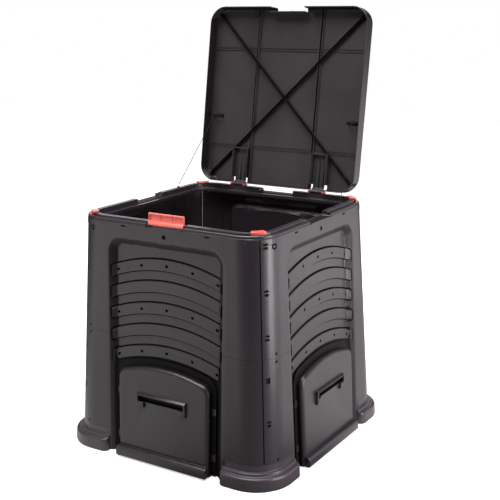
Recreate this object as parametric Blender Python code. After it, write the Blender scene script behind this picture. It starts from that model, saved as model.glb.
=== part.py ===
"""Square garden compost bin with a hinged lid, four lifting doors and a rim latch.

Units are metres and +Z is up. The front (latch) side faces -Y and the lid is hinged along
the back rim (+Y). The lid stands open and leans back past the rim, so the bin's own middle is
a little in front of the origin, which is on the ground under the middle of the whole outline.
The four sides are the same mouldings, turned by a quarter turn each.
"""
import math

import bmesh
import bpy
from mathutils import Matrix, Vector

# Driving dimensions of the body
RIM_Z = 0.780
RAIL_Z = 0.785
HALF_TOP = 0.354
HALF_GROUND = 0.389
CORNER_R = 0.100
WALL = 0.004
GAP = 0.0003
SIDES = ("front", "right", "back", "left")
CORNERS = ("front_right", "back_right", "back_left", "front_left")
BIN_MIDDLE_Y = -0.0139
QUARTER = math.pi / 2
SEAM_ANGLE = math.radians(44.7)
LEAN = math.atan((HALF_GROUND - HALF_TOP) / RIM_Z)

# Recess in each side and its louvres
RECESS_HALF = 0.2195
FLOOR_HALF = 0.195
RECESS_TOP = 0.725
FLOOR_TOP = 0.703
RECESS_R = 0.050
FLOOR_IN = 0.020
RAISED_IN = 0.015
DOORWAY_IN = 0.0185
LOUVRES = 5
LOUVRE_TOP = 0.669
LOUVRE_PITCH = 0.0703
LOUVRE_BAND = 0.037
ARC_SAG = 0.90

# Seams between the mouldings
MID_SEAM = 0.406
FOOT_SEAM = 0.074
SEAM_GAP = 0.0006

# Rim notch in the middle of each side
NOTCH_HALF = 0.070
NOTCH_Z = 0.770

# Doorway and door
DOORWAY_HALF = 0.1925
DOORWAY_TOP = 0.335
DOORWAY_SILL = 0.040
GUIDE_IN = 0.180
GUIDE_OUT = 0.1885
GUIDE_LOW = 0.050
GUIDE_HIGH = 0.250
DOOR_HALF = 0.1755
DOOR_TOP = 0.3225
DOOR_FOOT = 0.003
DOOR_OUT = 0.012
DOOR_BACK = -0.013
DOOR_WALL = 0.003
SILL_OUT = 0.030
SILL_TOP = 0.038
HANDLE_HALF = 0.094
HANDLE_OUT = 0.032
HANDLE_LOW = 0.190
HANDLE_LIP = 0.214
HANDLE_HIGH = 0.236

# Lid and its hinge line
LID_HALF = 0.318
LID_R = 0.060
LID_DEPTH = 0.0476
LID_TOP = 0.815
LID_WALL = 0.0032
HINGE_Y = 0.3227
HINGE_Z = 0.791
LID_OPEN = math.radians(99.0)
HINGE_X = 0.163
HINGE_HALF = 0.030
PIN_R = 0.002
BORE_R = 0.0023
BARREL_R = 0.005
STRAP_HALF = 0.0225

# Latch flap in the front rim notch
LATCH_Y = -0.337
LATCH_Z = 0.783
LATCH_HALF = 0.0668
LATCH_TOP = 0.812
LATCH_PIN_R = 0.0015

# Stay cords
CORD_R = 0.0012
HOOK_X = 0.2785
HOOK_HALF = 0.0185
HOOK_BACK = 0.242
HOOK_DEPTH = 0.024
HOOK_BAR_R = 0.0018
EYE_X = 0.330
EYE_Y = 0.180
EYE_R = 0.0045
EYE_H = 0.005


def clear_scene():
    for old in list(bpy.data.objects):
        bpy.data.objects.remove(old)


def new_collection(name):
    coll = bpy.data.collections.new(name)
    bpy.context.scene.collection.children.link(coll)
    return coll


def plastic(name, colour, roughness, metallic=0.0):
    mat = bpy.data.materials.new(name)
    mat.use_nodes = True
    shader = mat.node_tree.nodes["Principled BSDF"]
    shader.inputs["Base Color"].default_value = (*colour, 1.0)
    shader.inputs["Roughness"].default_value = roughness
    shader.inputs["Metallic"].default_value = metallic
    mat.diffuse_color = (*colour, 1.0)
    return mat


def add_object(name, mesh, coll):
    obj = bpy.data.objects.new(name, mesh)
    coll.objects.link(obj)
    return obj


def as_cutter(obj):
    """Marks a helper solid, which is cut or joined and is no part of the bin."""
    obj.hide_render = True
    obj.display_type = "WIRE"
    return obj


def mesh_from(bm, name):
    bmesh.ops.recalc_face_normals(bm, faces=bm.faces)
    mesh = bpy.data.meshes.new(name)
    bm.to_mesh(mesh)
    bm.free()
    return mesh


def slab(name, columns, rows, place):
    """A closed thin shell: a flat slab of columns x rows cells, bent into place.

    place(column, row, layer) gives each corner; layer 0 is the outer skin and 1 the inner.
    """
    bm = bmesh.new()
    bmesh.ops.create_grid(bm, x_segments=columns - 1, y_segments=rows - 1, size=0.5)
    skin = bmesh.ops.extrude_face_region(bm, geom=bm.faces[:])
    raised = [v for v in skin["geom"] if isinstance(v, bmesh.types.BMVert)]
    bmesh.ops.translate(bm, vec=(0, 0, 1), verts=raised)
    for v in bm.verts:
        column = round((v.co.x + 0.5) * (columns - 1))
        row = round((v.co.y + 0.5) * (rows - 1))
        v.co = place(column, row, round(v.co.z))
    bmesh.ops.triangulate(bm, faces=bm.faces[:], quad_method="SHORT_EDGE")
    return mesh_from(bm, name)


def prism(name, outline, low, high, axis):
    """A flat outline given thickness from low to high along X or Y, as a closed mesh.

    Along Y the outline is (x, z); along X it is (y, z).
    """
    curve = bpy.data.curves.new(name, "CURVE")
    curve.dimensions = "2D"
    curve.fill_mode = "BOTH"
    curve.extrude = (high - low) / 2
    spline = curve.splines.new("POLY")
    spline.points.add(len(outline) - 1)
    for point, (u, v) in zip(spline.points, outline):
        point.co = (u, v, 0, 1)
    spline.use_cyclic_u = True
    helper = bpy.data.objects.new(name, curve)
    bpy.context.scene.collection.objects.link(helper)
    mesh = evaluated_mesh(helper)
    bpy.data.objects.remove(helper)
    middle = (low + high) / 2
    stand = Matrix.Rotation(QUARTER, 4, "X")
    if axis == "X":
        turn = Matrix.Rotation(QUARTER, 4, "Z")
        mesh.transform(Matrix.Translation((middle, 0, 0)) @ turn @ stand)
    else:
        mesh.transform(Matrix.Translation((0, middle, 0)) @ stand)
    bm = bmesh.new()
    bm.from_mesh(mesh)
    bmesh.ops.remove_doubles(bm, verts=bm.verts, dist=0.00001)
    return mesh_from(bm, name)


def evaluated_mesh(obj):
    graph = bpy.context.evaluated_depsgraph_get()
    graph.update()
    return bpy.data.meshes.new_from_object(obj.evaluated_get(graph))


def box(name, low, high):
    bm = bmesh.new()
    bmesh.ops.create_cube(bm, size=1.0)
    size = Vector(high) - Vector(low)
    middle = (Vector(high) + Vector(low)) / 2
    bmesh.ops.scale(bm, vec=size, verts=bm.verts)
    bmesh.ops.translate(bm, vec=middle, verts=bm.verts)
    return mesh_from(bm, name)


def rod(name, radius, low, high, centre, segments=16):
    """A cylinder along X from low to high, at (y, z) = centre."""
    bm = bmesh.new()
    bmesh.ops.create_cone(bm, cap_ends=True, segments=segments, radius1=radius,
                          radius2=radius, depth=high - low)
    turn = Matrix.Rotation(QUARTER, 4, "Y")
    move = Matrix.Translation(((low + high) / 2, centre[0], centre[1]))
    bmesh.ops.transform(bm, matrix=move @ turn, verts=bm.verts)
    return mesh_from(bm, name)


def combine(name, base, steps):
    """Boolean steps ("UNION" or "DIFFERENCE", mesh) on a base mesh, given back as one mesh."""
    target = add_object(name, base, tools)
    for number, (operation, mesh) in enumerate(steps):
        helper = as_cutter(add_object(f"{name}_tool_{number}", mesh, tools))
        modifier = target.modifiers.new(f"step_{number}", "BOOLEAN")
        modifier.operation = operation
        modifier.solver = "EXACT"
        modifier.object = helper
    result = evaluated_mesh(target)
    result.name = name
    as_cutter(target)
    return result


def add_part(name, mesh, material, location=(0, 0, 0), rotation=(0, 0, 0)):
    obj = add_object(name, mesh, bin_parts)
    mesh.materials.clear()
    mesh.materials.append(material)
    obj.parent = bin_middle
    obj.location = location
    obj.rotation_euler = rotation
    return obj


def shade_round(mesh, angle=30):
    mesh.shade_smooth()
    mesh.set_sharp_from_angle(angle=math.radians(angle))
    return mesh


def half_width(z):
    return HALF_GROUND + (HALF_TOP - HALF_GROUND) * z / RIM_Z


def flat_point(o, z, inset):
    return Vector((o, inset - half_width(z), z))


def arc_point(sign, angle, z, inset):
    """On a rounded corner of the front side; angle 0 is where the flat ends."""
    centre = half_width(z) - CORNER_R
    radius = CORNER_R - inset
    x = sign * (centre + radius * math.sin(angle))
    return Vector((x, -(centre + radius * math.cos(angle)), z))


# The upper and lower side panels share these stations across a side
ARC_STEPS = 3
FLOOR_STEPS = 4
FLATS = FLOOR_STEPS + 5
PILLAR_MARGIN = 0.002
COLUMNS = 2 * (ARC_STEPS + 1) + FLATS


def side_point(column, row, inner):
    """A corner of a side panel. row gives the height and inset at each station."""
    arc_left = ARC_STEPS - column
    arc_right = column - (COLUMNS - 1 - ARC_STEPS)
    if arc_left >= 0 or arc_right >= 0:
        sign = -1 if arc_left >= 0 else 1
        angle = SEAM_ANGLE * max(arc_left, arc_right) / ARC_STEPS
        return arc_point(sign, angle, row["z"][inner], row["inset"][inner])
    flat = column - ARC_STEPS - 1
    if flat in (0, FLATS - 1):
        sign = -1 if flat == 0 else 1
        o = row.get("edge", RECESS_HALF) + PILLAR_MARGIN
        return flat_point(sign * o, row["z"][inner], row["inset"][inner])
    if flat in (1, FLATS - 2):
        sign = -1 if flat == 1 else 1
        z = row.get("edge_z", row["z"][inner])
        return flat_point(sign * row.get("edge", RECESS_HALF), z, row["inset"][inner])
    share = (flat - 2) / FLOOR_STEPS * 2 - 1
    o = share * row.get("floor", FLOOR_HALF)
    if "peak" not in row:
        return flat_point(o, row["z"][inner], row["inset"][inner])
    z = row["peak"] - row.get("sag", ARC_SAG) * o * o
    back = row["floor_in"] if row["floor_in"] < RAISED_IN else FLOOR_IN
    return flat_point(o, z, back + WALL if inner else row["floor_in"])


def wall_row(z, peak, floor_in, **more):
    """A row of a side wall: height z on the pillars and an arc of that peak in the recess."""
    row = {"z": (z, z), "inset": (0.0, WALL), "peak": peak, "floor_in": floor_in}
    row.update(more)
    return row


def louvre_rows():
    """Rows up the louvres, each a band with a step above it."""
    step = 0.0012
    levels = []
    for number in reversed(range(LOUVRES)):
        top = LOUVRE_TOP - number * LOUVRE_PITCH
        levels += [(top - LOUVRE_BAND, RAISED_IN), (top - step, RAISED_IN), (top + step, FLOOR_IN)]
    low = MID_SEAM + SEAM_GAP / 2
    high = RECESS_TOP - RECESS_R - 0.010
    rows = []
    for number, (peak, inset) in enumerate(levels):
        z = low + (high - low) * number / (len(levels) - 1)
        rows.append(wall_row(z, peak, inset))
    return rows


def recess_top_rows():
    """Rows round the top of the recess, whose corners are round."""
    round_low = RECESS_TOP - RECESS_R
    diagonal = RECESS_R * math.sqrt(0.5)
    edge = RECESS_HALF - RECESS_R + diagonal
    edge_z = round_low + diagonal
    slope = RECESS_HALF - FLOOR_HALF
    corner = RECESS_HALF - RECESS_R
    return [
        wall_row(round_low, LOUVRE_TOP + 0.012, FLOOR_IN, sag=0.4),
        wall_row(edge_z, FLOOR_TOP - 0.004, FLOOR_IN, sag=0.1, edge=edge, floor=edge - slope),
        wall_row(RECESS_TOP - 0.004, FLOOR_TOP, FLOOR_IN, sag=0, edge=corner + 0.012,
                 edge_z=RECESS_TOP - 0.003, floor=corner),
        wall_row(RECESS_TOP, RECESS_TOP, 0.0, sag=0, edge=corner + 0.006, floor=corner,
                 edge_z=RECESS_TOP + 0.001),
    ]


# Rim section, as (height, inset) down both skins: fillet, outer lip, groove, rail, lid ledge, hem
RIM_OUTER = (
    (0.7720, 0.0000), (0.7775, 0.0015), (0.7800, 0.0050), (0.7800, 0.0100),
    (0.7745, 0.0102), (0.7745, 0.0146), (RAIL_Z, 0.0150), (RAIL_Z, 0.0325),
    (0.7670, 0.0325), (0.7670, 0.0480), (0.7550, 0.0480),
)
RIM_INNER = (
    (0.7705, 0.0040), (0.7708, 0.0052), (0.7710, 0.0064), (0.7710, 0.0076),
    (0.7710, 0.0088), (0.7710, 0.0183), (0.7815, 0.0187), (0.7815, 0.0290),
    (0.7635, 0.0290), (0.7635, 0.0445), (0.7550, 0.0445),
)


def rim_rows():
    rows = []
    for outer, inner in zip(RIM_OUTER, RIM_INNER):
        rows.append({"z": (outer[0], inner[0]), "inset": (outer[1], inner[1])})
    return rows


def upper_panel_mesh():
    rows = louvre_rows() + recess_top_rows() + rim_rows()
    shell = slab("upper_panel", COLUMNS, len(rows), lambda c, r, i: side_point(c, rows[r], i))
    notch = box("rim_notch", (-NOTCH_HALF, -0.40, NOTCH_Z), (NOTCH_HALF, -0.28, 0.80))
    return combine("upper_panel_mesh", shell, [("DIFFERENCE", notch)])


def arch(half, top, low, corner, sag, margin=0.0):
    """Outline of a round-shouldered arch, anticlockwise from its foot."""
    half -= margin
    top -= margin
    turn = half - corner
    shoulder = top - sag * turn * turn - corner
    right = [(half, low + margin), (half, shoulder)]
    for number in (1, 2, 3):
        angle = QUARTER * number / 4
        right.append((turn + corner * math.cos(angle), shoulder + corner * math.sin(angle) * 0.97))
    crown = [(turn * share, top - sag * (turn * share) ** 2) for share in (0.9, 0.55, 0.2)]
    right += crown
    return right + [(-x, z) for x, z in reversed(right)]


def lower_panel_mesh():
    """The lower panel is a ring round the doorway, with the door's guide bars at its sides."""
    band_low = LOUVRE_TOP - (LOUVRES - 1) * LOUVRE_PITCH - LOUVRE_BAND
    top = MID_SEAM - SEAM_GAP / 2
    rows = [
        wall_row(FOOT_SEAM + SEAM_GAP / 2, 0.002, DOORWAY_IN, sag=0, edge_z=0.002),
        wall_row(top, band_low - SEAM_GAP, DOORWAY_IN),
    ]
    shell = slab("lower_panel", COLUMNS, len(rows), lambda c, r, i: side_point(c, rows[r], i))
    clear = DOORWAY_HALF - GUIDE_IN
    opening = arch(DOORWAY_HALF - clear, DOORWAY_TOP, DOORWAY_SILL, 0.045, ARC_SAG)
    steps = [("DIFFERENCE", prism("doorway", opening, -0.42, -0.30, "Y"))]
    for sign in (-1, 1):
        inner, outer = sorted((sign * GUIDE_OUT, sign * DOORWAY_HALF))
        slot = box("guide_slot", (inner, -0.42, GUIDE_LOW), (outer, -0.30, GUIDE_HIGH))
        steps.append(("DIFFERENCE", slot))
    return combine("lower_panel_mesh", shell, steps)


# Foot section, as (height, inset) down both skins: a flared toe over an inward sole
FOOT_OUTER = (
    (FOOT_SEAM - SEAM_GAP / 2, 0.0), (0.050, 0.0), (0.046, -0.006), (0.041, -0.019),
    (0.034, -0.0255), (0.006, -0.026), (0.001, -0.0255), (0.0, -0.0235),
)
FOOT_INNER = (
    (FOOT_SEAM - SEAM_GAP / 2, WALL), (0.050, WALL), (0.043, 0.002), (0.037, -0.014),
    (0.030, -0.0205), (0.007, -0.0205), (0.0045, -0.0200), (0.0, -0.0060),
)
FOOT_END = 0.2225
FOOT_ARC = 6


def corner_foot_mesh():
    """One corner foot, from the recess of the front side round to that of the right side."""
    last = FOOT_ARC + 4

    def place(column, row, inner):
        z, inset = (FOOT_INNER if inner else FOOT_OUTER)[row]
        if inner and column in (0, last):
            inset = WALL
        along = {0: FOOT_END, 1: FOOT_END + 0.006, last: -FOOT_END, last - 1: -FOOT_END - 0.006}
        if column <= 1:
            return flat_point(along[column], z, inset)
        if column >= last - 1:
            point = flat_point(along[column], z, inset)
            return Vector((-point.y, point.x, z))
        return arc_point(1, QUARTER * (column - 2) / FOOT_ARC, z, inset)

    return slab("corner_foot", last + 1, len(FOOT_OUTER), place)


def clip_mesh():
    """Clip that locks two panels' rims together: a cap on the rail, a leg in the groove."""
    outer = ((0.7750, 0.0108), (0.7880, 0.0090), (0.7900, 0.0110), (0.7900, 0.0300),
             (0.7880, 0.0318))
    inner = ((0.7750, 0.0138), (0.7853, 0.0138), (0.7853, 0.0150), (0.7853, 0.0300),
             (0.7853, 0.0318))
    reach = SEAM_ANGLE * (ARC_STEPS - 1) / ARC_STEPS
    angles = (reach, SEAM_ANGLE, QUARTER - SEAM_ANGLE, QUARTER - reach)

    def place(column, row, layer):
        z, inset = (inner if layer else outer)[row]
        return arc_point(1, angles[column], z, inset)

    return slab("corner_clip", len(angles), len(outer), place)


def door_mesh():
    """Door in its own frame: x across, -y outwards from the side's face, z up the slope."""
    outline = arch(DOOR_HALF, DOOR_TOP, DOOR_FOOT, 0.035, 1.0)
    cavity = arch(DOOR_HALF, DOOR_TOP, DOOR_FOOT, 0.035, 1.0, DOOR_WALL)
    base = prism("door_block", outline, -DOOR_OUT, -DOOR_BACK, "Y")
    hollow = prism("door_hollow", cavity, -DOOR_OUT + DOOR_WALL, 0.05, "Y")
    kick = [(-0.010, DOOR_FOOT), (-SILL_OUT, DOOR_FOOT), (-SILL_OUT, SILL_TOP - 0.008),
            (-SILL_OUT + 0.006, SILL_TOP), (-0.010, SILL_TOP)]
    skin = DOOR_OUT - DOOR_WALL / 2
    hood = [(-skin, HANDLE_HIGH), (-0.018, HANDLE_HIGH - 0.002), (-HANDLE_OUT, HANDLE_LIP + 0.008),
            (-HANDLE_OUT, HANDLE_LIP), (-skin, HANDLE_LOW)]
    scoop = [(-DOOR_OUT - GAP, HANDLE_HIGH - 0.005), (-0.0175, HANDLE_HIGH - 0.006),
             (-HANDLE_OUT + 0.003, HANDLE_LIP + 0.006), (-HANDLE_OUT + 0.003, 0.170),
             (-DOOR_OUT - GAP, 0.170)]
    steps = [
        ("DIFFERENCE", hollow),
        ("UNION", prism("door_kick", kick, -DOOR_HALF + 0.0005, DOOR_HALF - 0.0005, "X")),
        ("UNION", prism("handle_hood", hood, -HANDLE_HALF, HANDLE_HALF, "X")),
        ("DIFFERENCE", prism("handle_scoop", scoop, -HANDLE_HALF + 0.003, HANDLE_HALF - 0.003, "X")),
    ]
    for sign in (-1, 1):
        for low, hooked in ((0.054, True), (0.204, False)):
            steps += hook_steps(sign, low, low + 0.022, hooked)
    return combine("door_mesh", base, steps)


def hook_steps(sign, low, high, hooked):
    """A tab beside the door; the lower ones reach round the doorway's guide bar."""
    def block(name, x0, x1, y0, y1):
        left, right = sorted((sign * x0, sign * x1))
        return ("UNION", box(name, (left, y0, low), (right, y1, high)))

    tab_out = 0.1913
    steps = [block("door_tab", DOOR_HALF - 0.0015, tab_out, 0.0100, 0.0128)]
    if hooked:
        steps.append(block("door_leg", tab_out - 0.0020, tab_out - 0.0001, 0.0110, 0.0270))
        steps.append(block("door_barb", 0.1830, tab_out - 0.0002, 0.0248, 0.0269))
    return steps


def rounded_square(half, radius, steps=4):
    points = []
    centre = half - radius
    for corner in range(4):
        turn = corner * QUARTER
        for number in range(steps + 1):
            angle = turn + QUARTER * number / steps
            cx = centre * (1 if corner in (0, 3) else -1)
            cy = centre * (1 if corner in (0, 1) else -1)
            points.append((cx + radius * math.cos(angle), cy + radius * math.sin(angle)))
    return points


def flat_prism(name, outline, low, high):
    """An outline in the XY plane given thickness from low to high."""
    mesh = prism(name, outline, -high, -low, "Y")
    mesh.transform(Matrix.Rotation(-QUARTER, 4, "X"))
    return mesh


LID_MIDDLE_Y = -HINGE_Y
LID_CROWN = LID_TOP - HINGE_Z


def lid_y(from_back):
    """Place in the closed lid's frame of a point that far in from its back edge."""
    return LID_HALF - HINGE_Y - from_back


def lid_mesh():
    """Lid as closed, in a frame on the hinge axis: a tray with a deep skirt and ribs inside."""
    bottom = LID_CROWN - LID_DEPTH
    under = LID_CROWN - LID_WALL
    shift = Matrix.Translation((0, LID_MIDDLE_Y, 0))
    tray = flat_prism("lid_block", rounded_square(LID_HALF, LID_R), bottom, LID_CROWN)
    tray.transform(shift)
    inner = rounded_square(LID_HALF - LID_WALL, LID_R - LID_WALL)
    hollow = flat_prism("lid_hollow", inner, bottom - 0.01, under)
    hollow.transform(shift)
    steps = [("DIFFERENCE", hollow)]
    rib_low = under - 0.011
    for sign in (-1, 1):
        rib = box("lid_rib", (sign * 0.127 - 0.0015, -LID_HALF + 0.001, rib_low),
                  (sign * 0.127 + 0.0015, LID_HALF - 0.001, under + 0.001))
        rib.transform(shift)
        steps.append(("UNION", rib))
        reach = (LID_HALF - 0.022) * math.sqrt(2)
        cross = box("lid_cross", (-reach, -0.0015, rib_low - 0.001),
                    (reach, 0.0015, under + 0.0015))
        cross.transform(shift @ Matrix.Rotation(sign * QUARTER / 2, 4, "Z"))
        steps.append(("UNION", cross))
        near, far = HINGE_X - HINGE_HALF - 0.002, HINGE_X + HINGE_HALF + 0.002
        left, right = sorted((sign * near, sign * far))
        gap = box("hinge_gap", (left, lid_y(0.020), bottom - 0.01), (right, 0.02, LID_CROWN + 0.01))
        steps.append(("DIFFERENCE", gap))
    front = lid_y(2 * LID_HALF)
    catch_gap = box("latch_gap", (-0.069, front - 0.01, bottom - 0.01),
                    (0.069, front + 0.018, LID_CROWN + 0.01))
    steps.append(("DIFFERENCE", catch_gap))
    web = box("latch_web", (-0.0695, front + 0.0165, bottom + 0.012),
              (0.0695, front + 0.0195, under + 0.001))
    steps.append(("UNION", web))
    return combine("lid_mesh", tray, steps)


def hinge_bracket_mesh(centre):
    """Fixed half of a hinge: a base on the back rail with two cheeks that hold the pin."""
    rail = RAIL_Z + GAP
    low, high = centre - HINGE_HALF, centre + HINGE_HALF
    base = box("hinge_base", (low, 0.3292, rail), (high, 0.3440, rail + 0.0036))
    steps = []
    for start in (low, high - 0.006):
        cheek = [(0.3170, rail), (0.3345, rail), (0.3345, rail + 0.0065),
                 (0.3280, 0.7970), (0.3170, 0.7970)]
        steps.append(("UNION", prism("hinge_cheek", cheek, start, start + 0.006, "X")))
    bore = rod("hinge_bore", BORE_R, low - 0.01, high + 0.01, (HINGE_Y, HINGE_Z))
    steps.append(("DIFFERENCE", bore))
    return combine("hinge_bracket_mesh", base, steps)


def hinge_arm_mesh(centre):
    """Moving half of a hinge: a barrel on the pin and a strap under the lid, as closed."""
    low, high = centre - STRAP_HALF, centre + STRAP_HALF
    under = LID_CROWN - LID_WALL - GAP
    barrel = rod("hinge_barrel", BARREL_R, low, high, (0, 0), 20)
    strap = [(lid_y(0.105), under - 0.0035), (-0.0150, under - 0.0035), (-0.0035, 0.0015),
             (0.0010, 0.0035), (-0.0118, under), (lid_y(0.105), under)]
    steps = [
        ("UNION", prism("hinge_strap", strap, low + 0.0002, high - 0.0002, "X")),
        ("DIFFERENCE", rod("hinge_barrel_bore", BORE_R, low - 0.01, high + 0.01, (0, 0))),
    ]
    return combine("hinge_arm_mesh", barrel, steps)


def latch_mesh():
    """Latch flap as it stands open, in a frame on its own hinge axis."""
    barrel = rod("latch_barrel", 0.0035, -LATCH_HALF, LATCH_HALF, (0, 0), 16)
    top = LATCH_TOP - LATCH_Z
    plate = box("latch_plate", (-LATCH_HALF + 0.0002, -0.0015, 0.0005),
                (LATCH_HALF - 0.0002, 0.0015, top))
    steps = [("UNION", plate)]
    for sign in (-1, 1):
        left, right = sorted((sign * (LATCH_HALF - 0.0035), sign * (LATCH_HALF - 0.0004)))
        rim = box("latch_side", (left, -0.0055, 0.0060), (right, 0.0005, top - 0.0004))
        steps.append(("UNION", rim))
    lip = box("latch_lip", (-LATCH_HALF + 0.0006, -0.0054, top - 0.0035),
              (LATCH_HALF - 0.0006, 0.0004, top - 0.0002))
    steps.append(("UNION", lip))
    bore = rod("latch_bore", LATCH_PIN_R + 0.0003, -0.08, 0.08, (0, 0), 12)
    steps.append(("DIFFERENCE", bore))
    return combine("latch_mesh", barrel, steps)


def cord_hook_mesh(sign):
    """Hook under the lid: two lugs and a bar that the stay cord is tied to, as closed."""
    under = LID_CROWN - LID_WALL - GAP
    middle = lid_y(HOOK_BACK)
    bar_z = LID_CROWN - HOOK_DEPTH
    low, high = sign * HOOK_X - HOOK_HALF, sign * HOOK_X + HOOK_HALF
    base = box("hook_base", (low, middle - 0.006, under - 0.002), (high, middle + 0.006, under))
    steps = []
    for start in (low + 0.0001, high - 0.0031):
        lug = [(middle - 0.0055, under - 0.001), (middle - 0.003, bar_z - 0.003),
               (middle + 0.003, bar_z - 0.003), (middle + 0.0055, under - 0.001)]
        steps.append(("UNION", prism("hook_lug", lug, start, start + 0.003, "X")))
    steps.append(("UNION", rod("hook_bar", HOOK_BAR_R, low + 0.001, high - 0.001, (middle, bar_z), 10)))
    return combine("cord_hook_mesh", base, steps)


def lid_to_world(point):
    """World place, with the lid open, of a point in the closed lid's frame."""
    turned = Matrix.Rotation(-LID_OPEN, 4, "X") @ Vector(point)
    return turned + Vector((0, HINGE_Y, HINGE_Z))


def cord_mesh(sign):
    """Stay cord, taut between the rail's eye and the lid's hook."""
    bar = lid_to_world((sign * (HOOK_X + 0.008), lid_y(HOOK_BACK), LID_CROWN - HOOK_DEPTH))
    eye = Vector((sign * EYE_X, EYE_Y, RAIL_Z + GAP + EYE_H))
    along = (bar - eye).normalized()
    start = eye + Vector((0, 0, CORD_R + GAP)) + along * CORD_R
    end = bar - along * (HOOK_BAR_R + CORD_R + GAP)
    curve = bpy.data.curves.new("stay_cord", "CURVE")
    curve.dimensions = "3D"
    curve.bevel_depth = CORD_R
    curve.bevel_resolution = 2
    curve.use_fill_caps = True
    spline = curve.splines.new("POLY")
    count = 12
    spline.points.add(count - 1)
    for number, point in enumerate(spline.points):
        point.co = (*start.lerp(end, number / (count - 1)), 1)
    helper = bpy.data.objects.new("stay_cord", curve)
    bpy.context.scene.collection.objects.link(helper)
    mesh = evaluated_mesh(helper)
    bpy.data.objects.remove(helper)
    bm = bmesh.new()
    bm.from_mesh(mesh)
    bmesh.ops.remove_doubles(bm, verts=bm.verts, dist=0.00001)
    return mesh_from(bm, "stay_cord")


def cord_eye_mesh():
    bm = bmesh.new()
    bmesh.ops.create_cone(bm, cap_ends=True, segments=14, radius1=EYE_R,
                          radius2=EYE_R * 0.8, depth=EYE_H)
    bmesh.ops.translate(bm, vec=(0, 0, EYE_H / 2), verts=bm.verts)
    return mesh_from(bm, "cord_eye")


clear_scene()
bin_parts = new_collection("compost_bin")
tools = new_collection("cutters")
bin_middle = add_object("bin_middle", None, bin_parts)
bin_middle.location = (0, BIN_MIDDLE_Y, 0)
charcoal = plastic("charcoal_plastic", (0.045, 0.043, 0.045), 0.55)
coral = plastic("coral_plastic", (0.80, 0.12, 0.09), 0.42)
black_cord = plastic("black_cord", (0.02, 0.02, 0.02), 0.8)
steel = plastic("steel_pin", (0.55, 0.55, 0.56), 0.35, 1.0)

upper = upper_panel_mesh()
lower = lower_panel_mesh()
foot = corner_foot_mesh()
clip = shade_round(clip_mesh())
door = door_mesh()

for index, (side, corner) in enumerate(zip(SIDES, CORNERS)):
    turn_z = index * QUARTER
    add_part(f"upper_panel_{side}", upper, charcoal, rotation=(0, 0, turn_z))
    add_part(f"lower_panel_{side}", lower, charcoal, rotation=(0, 0, turn_z))
    add_part(f"corner_foot_{corner}", foot, charcoal, rotation=(0, 0, turn_z))
    add_part(f"corner_clip_{corner}", clip, coral, rotation=(0, 0, turn_z))
    hang = Matrix.Rotation(turn_z, 4, "Z") @ Vector((0, -HALF_GROUND, 0))
    add_part(f"door_{side}", door, charcoal, hang, (-LEAN, 0, turn_z))

hinge_line = (0, HINGE_Y, HINGE_Z)
opened = (-LID_OPEN, 0, 0)
add_part("lid", lid_mesh(), charcoal, hinge_line, opened)
for hand, sign in (("left", -1), ("right", 1)):
    centre_x = sign * HINGE_X
    add_part(f"hinge_bracket_{hand}", hinge_bracket_mesh(centre_x), coral)
    add_part(f"hinge_arm_{hand}", shade_round(hinge_arm_mesh(centre_x)), charcoal, hinge_line, opened)
    pin_half = HINGE_HALF - 0.001
    pin = rod("hinge_pin", PIN_R, centre_x - pin_half, centre_x + pin_half, (0, 0))
    add_part(f"hinge_pin_{hand}", shade_round(pin), steel, hinge_line)
    add_part(f"cord_hook_{hand}", shade_round(cord_hook_mesh(sign)), charcoal, hinge_line, opened)
    add_part(f"stay_cord_{hand}", shade_round(cord_mesh(sign)), black_cord)
    eye_place = (sign * EYE_X, EYE_Y, RAIL_Z + GAP)
    add_part(f"cord_eye_{hand}", shade_round(cord_eye_mesh()), charcoal, eye_place)

latch_line = (0, LATCH_Y, LATCH_Z)
add_part("latch_flap", shade_round(latch_mesh()), coral, latch_line)
latch_pin = rod("latch_pin", LATCH_PIN_R, -NOTCH_HALF + GAP, NOTCH_HALF - GAP, (0, 0), 12)
add_part("latch_pin", shade_round(latch_pin), steel, latch_line)
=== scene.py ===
"""Looks of the square garden compost bin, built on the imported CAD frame."""
import math

import bmesh
import bpy
from mathutils import Matrix, Vector


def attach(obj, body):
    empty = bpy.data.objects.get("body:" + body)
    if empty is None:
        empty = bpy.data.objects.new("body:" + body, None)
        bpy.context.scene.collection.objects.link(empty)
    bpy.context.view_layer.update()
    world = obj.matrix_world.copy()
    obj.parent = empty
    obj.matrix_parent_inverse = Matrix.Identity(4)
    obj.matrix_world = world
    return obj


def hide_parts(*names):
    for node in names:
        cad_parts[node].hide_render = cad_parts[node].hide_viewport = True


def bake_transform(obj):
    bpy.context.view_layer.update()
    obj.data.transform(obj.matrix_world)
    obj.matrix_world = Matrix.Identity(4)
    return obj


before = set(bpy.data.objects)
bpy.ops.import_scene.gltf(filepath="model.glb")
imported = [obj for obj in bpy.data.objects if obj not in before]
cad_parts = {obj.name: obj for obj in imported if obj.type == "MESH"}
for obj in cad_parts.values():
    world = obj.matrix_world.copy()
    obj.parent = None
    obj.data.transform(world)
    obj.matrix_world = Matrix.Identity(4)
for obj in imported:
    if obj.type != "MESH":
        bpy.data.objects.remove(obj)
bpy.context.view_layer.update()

# Sizes in metres, the same as the CAD's. Shapes are built round the bin's own middle.
MIDDLE = Vector((0, -0.0139, 0))
QUARTER = math.pi / 2
RIM_Z = 0.780
RAIL_Z = 0.785
HALF_TOP = 0.354
HALF_GROUND = 0.389
CORNER_R = 0.100
WALL = 0.004
GAP = 0.0003
SEAM_ANGLE = math.radians(44.7)
LEAN = math.atan((HALF_GROUND - HALF_TOP) / RIM_Z)
SIDES = ("front", "right", "back", "left")
CORNERS = ("front_right", "back_right", "back_left", "front_left")
RECESS_HALF = 0.2195
FLOOR_HALF = 0.195
RECESS_TOP = 0.725
RECESS_R = 0.050
RECESS_DEEP = 0.020
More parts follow.
